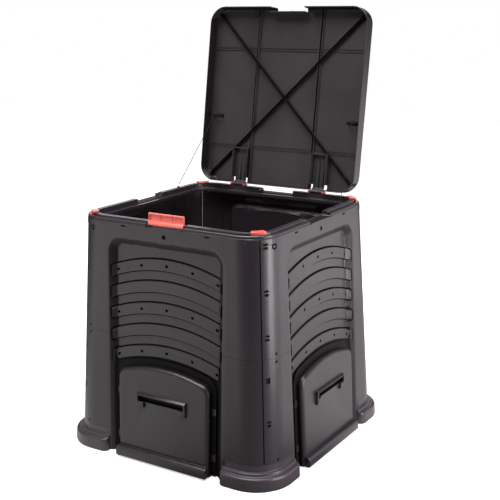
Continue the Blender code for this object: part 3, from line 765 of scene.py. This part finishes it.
def door():
    """Door in its own frame: x across, -y outwards from the side's face, z up the slope."""
    edge = 0.012
    rings = [door_loop(-0.012, edge + 0.0005)]
    for k in range(11):
        a = QUARTER * k / 10
        rings.append(door_loop(-0.012 + edge * (1 - math.cos(a)), edge * (1 - math.sin(a))))
    for y, margin in ((0.004, 0.0), (0.0126, 0.0), (0.0130, 0.0004), (0.0130, 0.0026), (0.0045, 0.0030)):
        rings.append(door_loop(y, margin))
    for k in reversed(range(9)):
        a = QUARTER * k / 8
        rings.append(door_loop(-0.009 + 0.009 * (1 - math.cos(a)), 0.0032 + 0.009 * (1 - math.sin(a))))
    shell = lofted("door_shell", rings)
    flange = prism(arch(0.1905, 0.3435, 0.0035, 0.050, ARC_SAG), 0.0122, 0.0143, "Y")
    window = prism(arch(0.1710, 0.3180, 0.0100, 0.036, ARC_SAG), 0.0090, 0.0160, "Y")
    kick = [(-0.0100, 0.0030), (-0.0250, 0.0030), (-0.0290, 0.0075), (-0.0290, 0.0270),
            (-0.0250, 0.0345), (-0.0190, 0.0372), (-0.0100, 0.0372)]
    kick_block = soften(prism(kick, -0.1748, 0.1748, "X"), 0.0045, 4, 20)
    groove = prism([(-0.0127, 0.0372), (-0.0110, 0.0380), (-0.0095, 0.0392), (-0.0095, 0.0430),
                    (-0.0110, 0.0446), (-0.0127, 0.0458)], -0.1700, 0.1700, "X")
    house = box((-0.0935, -0.0105, 0.1950), (0.0935, -0.0010, 0.2280))
    crest = [(-0.0105, 0.2335), (-0.0150, 0.2318), (-0.0215, 0.2288), (-0.0228, 0.2272), (-0.0222, 0.2250),
             (-0.0105, 0.2236)]
    lip = [(-0.0105, 0.2058), (-0.0140, 0.2054), (-0.0150, 0.2030), (-0.0138, 0.1980), (-0.0105, 0.1930)]
    cheek = [(-0.0105, 0.2325), (-0.0150, 0.2308), (-0.0215, 0.2276), (-0.0222, 0.2200), (-0.0200, 0.2030),
             (-0.0150, 0.1910), (-0.0105, 0.1880)]
    stub = [(-0.0105, 0.2056), (-0.0190, 0.2052), (-0.0212, 0.2030), (-0.0205, 0.1900), (-0.0170, 0.1855),
            (-0.0105, 0.1835)]
    steps = [("DIFFERENCE", groove), ("UNION", kick_block), ("UNION", flange), ("DIFFERENCE", window),
             ("UNION", house), ("UNION", soften(prism(crest, -0.0940, 0.0940, "X"), 0.0008, 2, 30)),
             ("UNION", soften(prism(lip, -0.0900, 0.0900, "X"), 0.0008, 2, 30))]
    for start in (-0.0941, 0.0886):
        steps.append(("UNION", soften(prism(cheek, start, start + 0.0055, "X"), 0.0010, 3, 30)))
    for start in (-0.0943, 0.0673):
        steps.append(("UNION", soften(prism(stub, start, start + 0.0270, "X"), 0.0022, 3, 30)))
    steps.append(("DIFFERENCE", box((-0.0886, -0.0140, 0.2056), (0.0886, -0.0035, 0.2236))))
    for sign in (-1, 1):
        for low, hooked in ((0.054, True), (0.204, False)):
            high = low + 0.022
            blocks = [(0.1735, 0.1913, 0.0100, 0.0128)]
            if hooked:
                blocks += [(0.1893, 0.1912, 0.0110, 0.0270), (0.1830, 0.1911, 0.0248, 0.0269)]
            for x0, x1, y0, y1 in blocks:
                left, right = sorted((sign * x0, sign * x1))
                steps.append(add_box((left, y0, low), (right, y1, high)))
    mesh = boolean(shell, steps)
    three_materials(mesh, painted_shade_in_door)
    return smooth(mesh, 34)


def painted_shade_in_door(p):
    """Painted shade on the handle's pocket, and on the door's back and sides apart from its tabs."""
    if abs(p.x) < 0.0890 and 0.2050 < p.z < 0.2240 and -0.0141 < p.y < -0.0020:
        return True
    tab = abs(p.x) > 0.1765 and (0.0535 < p.z < 0.0765 or 0.2035 < p.z < 0.2265)
    return p.y > -0.0005 and not tab


# ---------------- lid
def square_loop(half, radius, z):
    """A rounded square round the closed lid's middle."""
    steps = 8
    loop = []
    centre = half - radius
    for corner in range(4):
        for k in range(steps + 1):
            a = corner * QUARTER + QUARTER * k / steps
            cx = centre if corner in (0, 3) else -centre
            cy = centre if corner in (0, 1) else -centre
            loop.append(Vector((cx + radius * math.cos(a), cy + radius * math.sin(a) - HINGE_Y, z)))
    return loop


def lid_y(from_back):
    """Place on the closed lid, by the distance from its back edge."""
    return LID_HALF - HINGE_Y - from_back


def crossed(sign):
    """Turns a rib on to one of the lid's diagonals."""
    return Matrix.Translation((0, -HINGE_Y, 0)) @ Matrix.Rotation(sign * QUARTER / 2, 4, "Z")


def lid():
    """The lid as closed, in a frame on the hinge axis."""
    bottom = LID_CROWN - LID_DEPTH
    under = LID_CROWN - LID_WALL
    edge = 0.007
    rings = [square_loop(LID_HALF - edge - 0.001, LID_R - edge - 0.001, LID_CROWN)]
    for k in range(8):
        a = QUARTER * k / 7
        m = edge * (1 - math.sin(a))
        rings.append(square_loop(LID_HALF - m, LID_R - m, LID_CROWN - edge * (1 - math.cos(a))))
    for depth, m in ((0.030, 0.0), (0.0465, 0.0), (0.0472, 0.0004), (LID_DEPTH, 0.0012),
                     (LID_DEPTH, 0.0026), (0.0468, 0.0034), (0.0370, 0.0036), (0.0362, 0.0050),
                     (0.0335, 0.0052), (0.0327, 0.0034), (0.0180, 0.0034), (0.0100, 0.0036)):
        rings.append(square_loop(LID_HALF - m, LID_R - m, LID_CROWN - depth))
    for k in range(1, 6):
        a = QUARTER * k / 5
        m = 0.0036 + 0.006 * (1 - math.cos(a))
        rings.append(square_loop(LID_HALF - m, LID_R - m, under - 0.006 * (1 - math.sin(a))))
    tray = lofted("lid_shell", rings)
    steps = []
    rib_low = under - 0.011
    reach = (LID_HALF - 0.022) * math.sqrt(2)
    for sign in (-1, 1):
        for x, height in ((0.1240, 0.0100), (0.1315, 0.0070)):
            steps.append(add_box((sign * x - 0.0011, lid_y(0.628), under - height),
                                 (sign * x + 0.0011, lid_y(0.004), under + 0.0012)))
        cross = box((-reach, -0.0044, rib_low - 0.0005), (reach, 0.0044, under + 0.0014))
        cross.transform(crossed(sign))
        steps.append(("UNION", cross))
    for sign in (-1, 1):
        channel = box((-reach + 0.003, -0.0032, rib_low - 0.002), (reach - 0.003, 0.0032, under - 0.0004))
        channel.transform(crossed(sign))
        steps.append(("DIFFERENCE", channel))
    for from_back in (0.494, 0.485, 0.140, 0.131):
        steps.append(add_box((-0.308, lid_y(from_back) - 0.0011, under - 0.0026),
                             (0.308, lid_y(from_back) + 0.0011, under + 0.0010)))
    for sign in (-1, 1):
        left, right = sorted((sign * 0.131, sign * 0.195))
        steps.append(("DIFFERENCE", box((left, lid_y(0.020), bottom - 0.01),
                                        (right, 0.02, LID_CROWN + 0.01))))
        for x in (0.1315, 0.1945):
            steps.append(add_box((sign * x - 0.0013, lid_y(0.128), under - 0.0205),
                                 (sign * x + 0.0013, lid_y(0.0203), under + 0.0011)))
        left, right = sorted((sign * 0.1325, sign * 0.1935))
        steps.append(add_box((left, lid_y(0.130), under - 0.0140),
                             (right, lid_y(0.1255), under + 0.0013)))
    front = lid_y(2 * LID_HALF)
    notch = [(-0.0700, bottom - 0.01), (0.0700, bottom - 0.01), (0.0690, bottom + 0.0255),
             (0.0570, LID_CROWN + 0.01), (-0.0570, LID_CROWN + 0.01), (-0.0690, bottom + 0.0255)]
    steps.append(("DIFFERENCE", soften(prism(notch, front - 0.02, front + 0.018, "Y"), 0.004, 3)))
    steps.append(add_box((-0.0700, front + 0.0165, bottom + 0.006),
                         (0.0700, front + 0.0196, under + 0.0011)))
    steps.append(add_box((-0.0070, front + 0.0110, under - 0.0050), (0.0070, front + 0.0170, under)))
    mesh = boolean(tray, steps)
    three_materials(mesh, lambda p: painted_shade_in_lid(p, under), charcoal_lid)
    return smooth(mesh, 34)


def painted_shade_in_lid(p, under):
    """Painted shade: 1 in the crossed ribs, between the long ribs and low inside the skirt, 0 for the rest.
    """
    across, along = abs(p.x), abs(p.y + HINGE_Y)
    out = max(across, along)
    if p.z > under - 0.0003 or out >= LID_HALF - 0.0030:
        return 0
    on_cross = abs(across - along) < 0.0064 and p.z > under - 0.0125
    return int(on_cross or 0.1250 < across < 0.1305 or out > LID_HALF - 0.0075)


LID_PLACE = Matrix.Translation((0, HINGE_Y, HINGE_Z)) @ Matrix.Rotation(-LID_OPEN, 4, "X")


def hinge_bracket(centre):
    rail = RAIL_Z + GAP
    low, high = centre - HINGE_HALF, centre + HINGE_HALF
    base = soften(box((low, 0.3292, rail), (high, 0.3440, rail + 0.0036)), 0.0010, 3)
    steps = []
    for start in (low, high - 0.006):
        cheek = [(0.3170, rail), (0.3345, rail), (0.3345, rail + 0.0065), (0.3300, 0.7955), (0.3275, 0.7970),
                 (0.3195, 0.7970), (0.3170, 0.7950)]
        steps.append(("UNION", soften(prism(cheek, start + 0.0001, start + 0.0059, "X"), 0.0008, 2)))
    for share in (0.3, 0.5, 0.7):
        x = lerp(low, high, share)
        steps.append(add_box((x - 0.0012, 0.3300, rail + 0.0030), (x + 0.0012, 0.3432, rail + 0.0050)))
    steps.append(("DIFFERENCE", rod(0.0023, low - 0.01, high + 0.01, (HINGE_Y, HINGE_Z))))
    return smooth(boolean(base, steps), 40)


def hinge_arm(centre):
    low, high = centre - 0.0225, centre + 0.0225
    under = LID_CROWN - LID_WALL - GAP
    barrel = rod(0.0050, low, high, (0, 0), 40)
    strap = [(lid_y(0.105), under - 0.0035), (-0.0150, under - 0.0035), (-0.0035, 0.0015),
             (0.0010, 0.0035), (-0.0118, under), (lid_y(0.105), under)]
    steps = [("UNION", prism(strap, low + 0.0002, high - 0.0002, "X"))]
    for share in (0.12, 0.5, 0.88):
        x = lerp(low, high, share)
        gusset = [(lid_y(0.1000), under - 0.0030), (lid_y(0.1000), under - 0.0050),
                  (-0.0190, under - 0.0090), (-0.0120, under - 0.0060), (-0.0120, under - 0.0030)]
        steps.append(("UNION", prism(gusset, x - 0.0011, x + 0.0011, "X")))
    steps.append(("DIFFERENCE", rod(0.0023, low - 0.01, high + 0.01, (0, 0))))
    return smooth(boolean(barrel, steps), 40)


def latch_flap():
    barrel = rod(0.0035, -LATCH_HALF, LATCH_HALF, (0, 0), 32)
    plate = soften(box((-LATCH_HALF + 0.0002, -0.0014, 0.0005), (LATCH_HALF - 0.0002, 0.0015, LATCH_TOP)),
                   0.0007, 2)
    steps = [("UNION", plate)]
    frame_low = 0.0045
    for x0, x1, z0, z1 in ((-0.0664, -0.0633, frame_low, LATCH_TOP - 0.0004),
                           (0.0633, 0.0664, frame_low, LATCH_TOP - 0.0004),
                           (-0.0660, 0.0660, LATCH_TOP - 0.0034, LATCH_TOP - 0.0003),
                           (-0.0660, 0.0660, frame_low, frame_low + 0.0022)):
        steps.append(("UNION", soften(box((x0, -0.0054, z0), (x1, -0.0004, z1)), 0.0006, 2)))
    for x in (-0.022, 0.022):
        steps.append(add_box((x - 0.0008, -0.0030, frame_low),
                             (x + 0.0008, -0.0004, LATCH_TOP - 0.001)))
    apron = [(-0.0012, 0.0040), (-0.0050, 0.0052), (-0.0098, 0.0005), (-0.0112, -0.0050), (-0.0100, -0.0092),
             (-0.0080, -0.0090), (-0.0078, -0.0045), (-0.0050, -0.0008), (-0.0028, 0.0004)]
    steps.append(("UNION", soften(prism(apron, -0.0662, 0.0662, "X"), 0.0006, 2)))
    steps.append(("DIFFERENCE", rod(0.0018, -0.08, 0.08, (0, 0), 24)))
    return smooth(boolean(barrel, steps), 40)


def cord_hook(sign):
    under = LID_CROWN - LID_WALL - GAP
    middle = lid_y(HOOK_BACK)
    bar_z = LID_CROWN - HOOK_DEPTH
    low, high = sign * HOOK_X - 0.0185, sign * HOOK_X + 0.0185
    base = soften(box((low, middle - 0.006, under - 0.002), (high, middle + 0.006, under)), 0.0006, 2)
    steps = []
    for start in (low + 0.0001, high - 0.0031):
        lug = [(middle - 0.0055, under - 0.001), (middle - 0.0034, bar_z - 0.0018),
               (middle - 0.0018, bar_z - 0.003), (middle + 0.0018, bar_z - 0.003),
               (middle + 0.0034, bar_z - 0.0018), (middle + 0.0055, under - 0.001)]
        steps.append(("UNION", soften(prism(lug, start, start + 0.003, "X"), 0.0005, 2)))
    steps.append(("UNION", rod(HOOK_BAR_R, low + 0.001, high - 0.001, (middle, bar_z), 20)))
    return smooth(boolean(base, steps), 40)


def cord_eye():
    profile = [(0.0, 0.0), (0.0045, 0.0), (0.0045, 0.0012), (0.0036, 0.0018), (0.0034, 0.0038),
               (0.0036, 0.0046), (0.0030, 0.0050), (0.0, 0.0050)]
    turns = [2 * math.pi * k / 28 for k in range(28)]
    loops = []
    for r, z in rounded(profile, 0.0005, 2)[1:-1]:
        loops.append([Vector((r * math.cos(a), r * math.sin(a), z)) for a in turns])
    return smooth(lofted("cord_eye_shell", loops), 40)


# ---------------- stay cords
def cord_line(sign):
    """Both ends of a cord, taut from the rail's eye to the lid's hook."""
    bar = LID_PLACE @ Vector((sign * (HOOK_X + 0.008), lid_y(HOOK_BACK), LID_CROWN - HOOK_DEPTH))
    eye = Vector((sign * EYE_X, EYE_Y, RAIL_Z + GAP + 0.005))
    along = (bar - eye).normalized()
    start = eye + Vector((0, 0, CORD_R + GAP)) + along * CORD_R
    return start, bar - along * (HOOK_BAR_R + CORD_R + GAP)


def cord_tube(sign):
    """A twisted two-strand cord; its section turns as it goes."""
    start, end = cord_line(sign)
    along = (end - start).normalized()
    side = along.cross(Vector((0, 0, 1))).normalized()
    up = side.cross(along)
    count = 150
    loops = []
    for n in range(count):
        centre = start.lerp(end, n / (count - 1))
        twist = n * 0.36
        loop = []
        for k in range(12):
            a = 2 * math.pi * k / 12
            radius = CORD_R * (0.86 + 0.14 * math.cos(2 * (a - twist)))
            loop.append(centre + side * radius * math.cos(a) + up * radius * math.sin(a) + MIDDLE)
        loops.append(loop)
    return smooth(lofted("stay_cord_tube", loops), 70), start + MIDDLE, end + MIDDLE


def knot(centre, axis, size):
    """A small overhand knot: a lumpy ring of cord."""
    turn = axis.to_track_quat("Z", "Y").to_matrix().to_4x4()
    count = 40
    strand = CORD_R * 0.9
    line = []
    for k in range(count):
        a = 2 * math.pi * k / count
        line.append(Vector((size * (math.sin(a) + 0.9 * math.sin(2 * a)) * 0.6,
                            size * (math.cos(a) - 0.9 * math.cos(2 * a)) * 0.6,
                            size * 0.5 * math.sin(3 * a))))
    bm = bmesh.new()
    rings = []
    for i, point in enumerate(line):
        ahead = (line[(i + 1) % count] - line[i - 1]).normalized()
        side = ahead.cross(Vector((0, 0, 1))).normalized()
        up = side.cross(ahead)
        ring = []
        for b in (2 * math.pi * j / 8 for j in range(8)):
            around = side * strand * math.cos(b) + up * strand * math.sin(b)
            ring.append(bm.verts.new(turn @ (point + around) + centre))
        rings.append(ring)
    for i in range(count):
        one, two = rings[i], rings[(i + 1) % count]
        for j in range(8):
            k = (j + 1) % 8
            bm.faces.new((one[j], one[k], two[k], two[j]))
    return smooth(to_mesh(bm, "cord_knot"), 70)


# ---------------- assembly
upper_mesh, lower_mesh = upper_panel(), lower_panel()
foot_mesh, clip_mesh, door_mesh, runner_mesh = corner_foot(), corner_clip(), door(), runner()
for index, (side, corner) in enumerate(zip(SIDES, CORNERS)):
    turned = Matrix.Rotation(index * QUARTER, 4, "Z")
    piece(f"upper_wall_{side}", upper_mesh, charcoal, "bin", [f"upper_panel_{side}"], turned)
    piece(f"lower_wall_{side}", lower_mesh, charcoal, "bin", [f"lower_panel_{side}"], turned)
    piece(f"foot_{corner}", foot_mesh, charcoal_foot_painted_light, "bin", [f"corner_foot_{corner}"], turned)
    piece(f"rim_clip_{corner}", clip_mesh, coral, "bin", [f"corner_clip_{corner}"], turned)
    hung = turned @ Matrix.Translation((0, -HALF_GROUND, 0)) @ Matrix.Rotation(-LEAN, 4, "X")
    piece(f"guide_back_{side}", runner_mesh, charcoal, "bin", (), hung @ Matrix.Translation((0, 0, 0.046)))
    piece(f"lift_door_{side}", door_mesh, charcoal, f"{side}_door", [f"door_{side}"], hung)

piece("lid_tray", lid(), charcoal_lid, "lid", ["lid"], LID_PLACE)
for hand, sign in (("left", -1), ("right", 1)):
    centre_x = sign * HINGE_X
    piece(f"hinge_base_{hand}", hinge_bracket(centre_x), coral, "bin", [f"hinge_bracket_{hand}"])
    piece(f"hinge_strap_{hand}", hinge_arm(centre_x), charcoal_trim, "lid", [f"hinge_arm_{hand}"], LID_PLACE)
    # The cord hooks are drawn whole in the near-black plastic that elsewhere is painted shade.
    piece(f"hook_{hand}", cord_hook(sign), charcoal_black_and_painted_shade, "lid", [f"cord_hook_{hand}"], LID_PLACE)
    piece(f"eye_{hand}", cord_eye(), charcoal_trim, "bin", [f"cord_eye_{hand}"],
          Matrix.Translation((sign * EYE_X, EYE_Y, RAIL_Z + GAP)))
    for n, shift in enumerate((0.005, 0.014)):
        middle = Vector((sign * (HOOK_X + shift), lid_y(HOOK_BACK), LID_CROWN - HOOK_DEPTH))
        knot_mesh = knot(middle, Vector((1, 0.3 * n, 0)), 0.0070)
        piece(f"knot_{hand}_{n}", knot_mesh, cord_black, "lid", (), LID_PLACE)
    mesh, start, end = cord_tube(sign)
    cord = bpy.data.objects.new(f"cord_{hand}", mesh)
    bpy.context.scene.collection.objects.link(cord)
    mesh.materials.append(cord_black)
    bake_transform(cord)
    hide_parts(f"stay_cord_{hand}")

piece("latch_tray", latch_flap(), coral_latch_painted_light, "latch", ["latch_flap"], Matrix.Translation(LATCH_LINE))
for name in ("hinge_pin_left", "hinge_pin_right", "latch_pin"):
    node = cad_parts[name]
    for slot in node.material_slots:
        slot.material = steel


# ---------------- stage, light and camera
def stage_material():
    """A floor that the camera sees pale, whiter away from the object, and that glows to two sides."""
    mat = bpy.data.materials.new("studio_floor")
    mat.use_nodes = True
    tree = mat.node_tree
    link = tree.links.new
    shader = tree.nodes["Principled BSDF"]
    for socket, value in (("Base Color", (0.80, 0.80, 0.80, 1)), ("Roughness", 0.9),
                          ("Specular IOR Level", 0.0), ("Emission Color", (1, 1, 1, 1))):
        shader.inputs[socket].default_value = value
    place = add_node(tree, "TexCoord")
    away = add_node(tree, "VectorMath", operation="LENGTH")
    link(place.outputs["Object"], away.inputs[0])
    glow = add_node(tree, "MapRange", {"From Min": 0.55, "From Max": 1.6, "To Min": FLOOR_NEAR})
    link(away.outputs["Value"], glow.inputs["Value"])
    link(glow.outputs["Result"], shader.inputs["Emission Strength"])
    dim = add_node(tree, "BsdfDiffuse", {"Color": (FLOOR_BOUNCE, FLOOR_BOUNCE, FLOOR_BOUNCE, 1)})
    heading = add_node(tree, "VectorMath", operation="NORMALIZE")
    link(place.outputs["Object"], heading.inputs[0])
    total = dim.outputs[0]
    for azimuth, strength in FLOOR_GLOWS:
        a = math.radians(azimuth)
        facing = add_node(tree, "VectorMath", operation="DOT_PRODUCT")
        facing.inputs[1].default_value = (math.sin(a), -math.cos(a), 0)
        link(heading.outputs[0], facing.inputs[0])
        spread = add_node(tree, "MapRange", {"From Min": 0.66, "From Max": 0.98, "To Max": strength})
        link(facing.outputs["Value"], spread.inputs["Value"])
        shine = add_node(tree, "Emission")
        link(spread.outputs["Result"], shine.inputs["Strength"])
        both = add_node(tree, "AddShader")
        link(total, both.inputs[0])
        link(shine.outputs[0], both.inputs[1])
        total = both.outputs[0]
    camera_sees(tree, total, shader.outputs[0], "Material Output")
    return mat


def camera_sees(tree, others, camera_ray, output):
    """Shows one shader to the camera and another to every other ray."""
    seen = add_node(tree, "LightPath")
    either = add_node(tree, "MixShader")
    tree.links.new(seen.outputs["Is Camera Ray"], either.inputs["Fac"])
    tree.links.new(others, either.inputs[1])
    tree.links.new(camera_ray, either.inputs[2])
    tree.links.new(either.outputs[0], tree.nodes[output].inputs["Surface"])


floor = bpy.data.objects.new("floor", box((-9, -9, -0.02), (9, 9, -0.0002), "floor"))
bpy.context.scene.collection.objects.link(floor)
floor.data.materials.append(stage_material())

world = bpy.data.worlds.new("studio")
bpy.context.scene.world = world
world.use_nodes = True
background = world.node_tree.nodes["Background"]
background.inputs["Color"].default_value = (1.0, 0.97, 1.0, 1)
background.inputs["Strength"].default_value = 0.055
backdrop = add_node(world.node_tree, "Background", {"Color": (1, 1, 1, 1), "Strength": 1.0})
camera_sees(world.node_tree, background.outputs[0], backdrop.outputs[0], "World Output")


def softbox(name, azimuth, elevation, distance, size, power):
    """A soft light round the object; azimuth 0 is in front and 90 to the right."""
    lamp = bpy.data.lights.new(name, "AREA")
    lamp.shape = "RECTANGLE"
    lamp.size, lamp.size_y = size
    lamp.energy = power
    lamp.color = (1.0, 0.955, 0.985)
    obj = bpy.data.objects.new(name, lamp)
    bpy.context.scene.collection.objects.link(obj)
    a, e = math.radians(azimuth), math.radians(elevation)
    aim = Vector((0, 0, 0.5))
    out = Vector((math.sin(a) * math.cos(e), -math.cos(a) * math.cos(e), math.sin(e)))
    obj.location = aim + distance * out
    obj.visible_camera = False
    obj.rotation_euler = (obj.location - aim).to_track_quat("Z", "Y").to_euler()


softbox("right_key", 130, 4, 1.8, (1.6, 1.1), 6)
softbox("edge_strip", 84, 8, 1.8, (0.40, 1.4), 28)
softbox("left_fill", -36, 4, 1.8, (1.6, 1.1), 4.2)
softbox("top_box", -10, 78, 3.2, (2.6, 2.6), 230)
softbox("back_box", 212, 16, 3.0, (2.6, 1.4), 26)

# The camera stands where the fit to the photograph put it, and looks against the vector "back"
CAMERA_PLACE = Vector((1.77320, -2.70412, 1.43184))
CAMERA_LENS = 70.9
AZIMUTH = math.radians(31.914)
ROLL = math.radians(-0.415)
back = Vector((0.51299, -0.82375, 0.24141)).normalized()
level = Vector((math.cos(AZIMUTH), math.sin(AZIMUTH), 0))
level = (level - back * level.dot(back)).normalized()
above = back.cross(level)
right = level * math.cos(ROLL) + above * math.sin(ROLL)
up = above * math.cos(ROLL) - level * math.sin(ROLL)
camera_data = bpy.data.cameras.new("camera")
camera_data.lens = CAMERA_LENS
camera_data.sensor_width = 36
camera = bpy.data.objects.new("camera", camera_data)
bpy.context.scene.collection.objects.link(camera)
turn = Matrix((right, up, back)).transposed().to_4x4()
camera.matrix_world = Matrix.Translation(CAMERA_PLACE + MIDDLE) @ turn
bpy.context.scene.camera = camera
bpy.context.scene.view_settings.view_transform = "Standard"
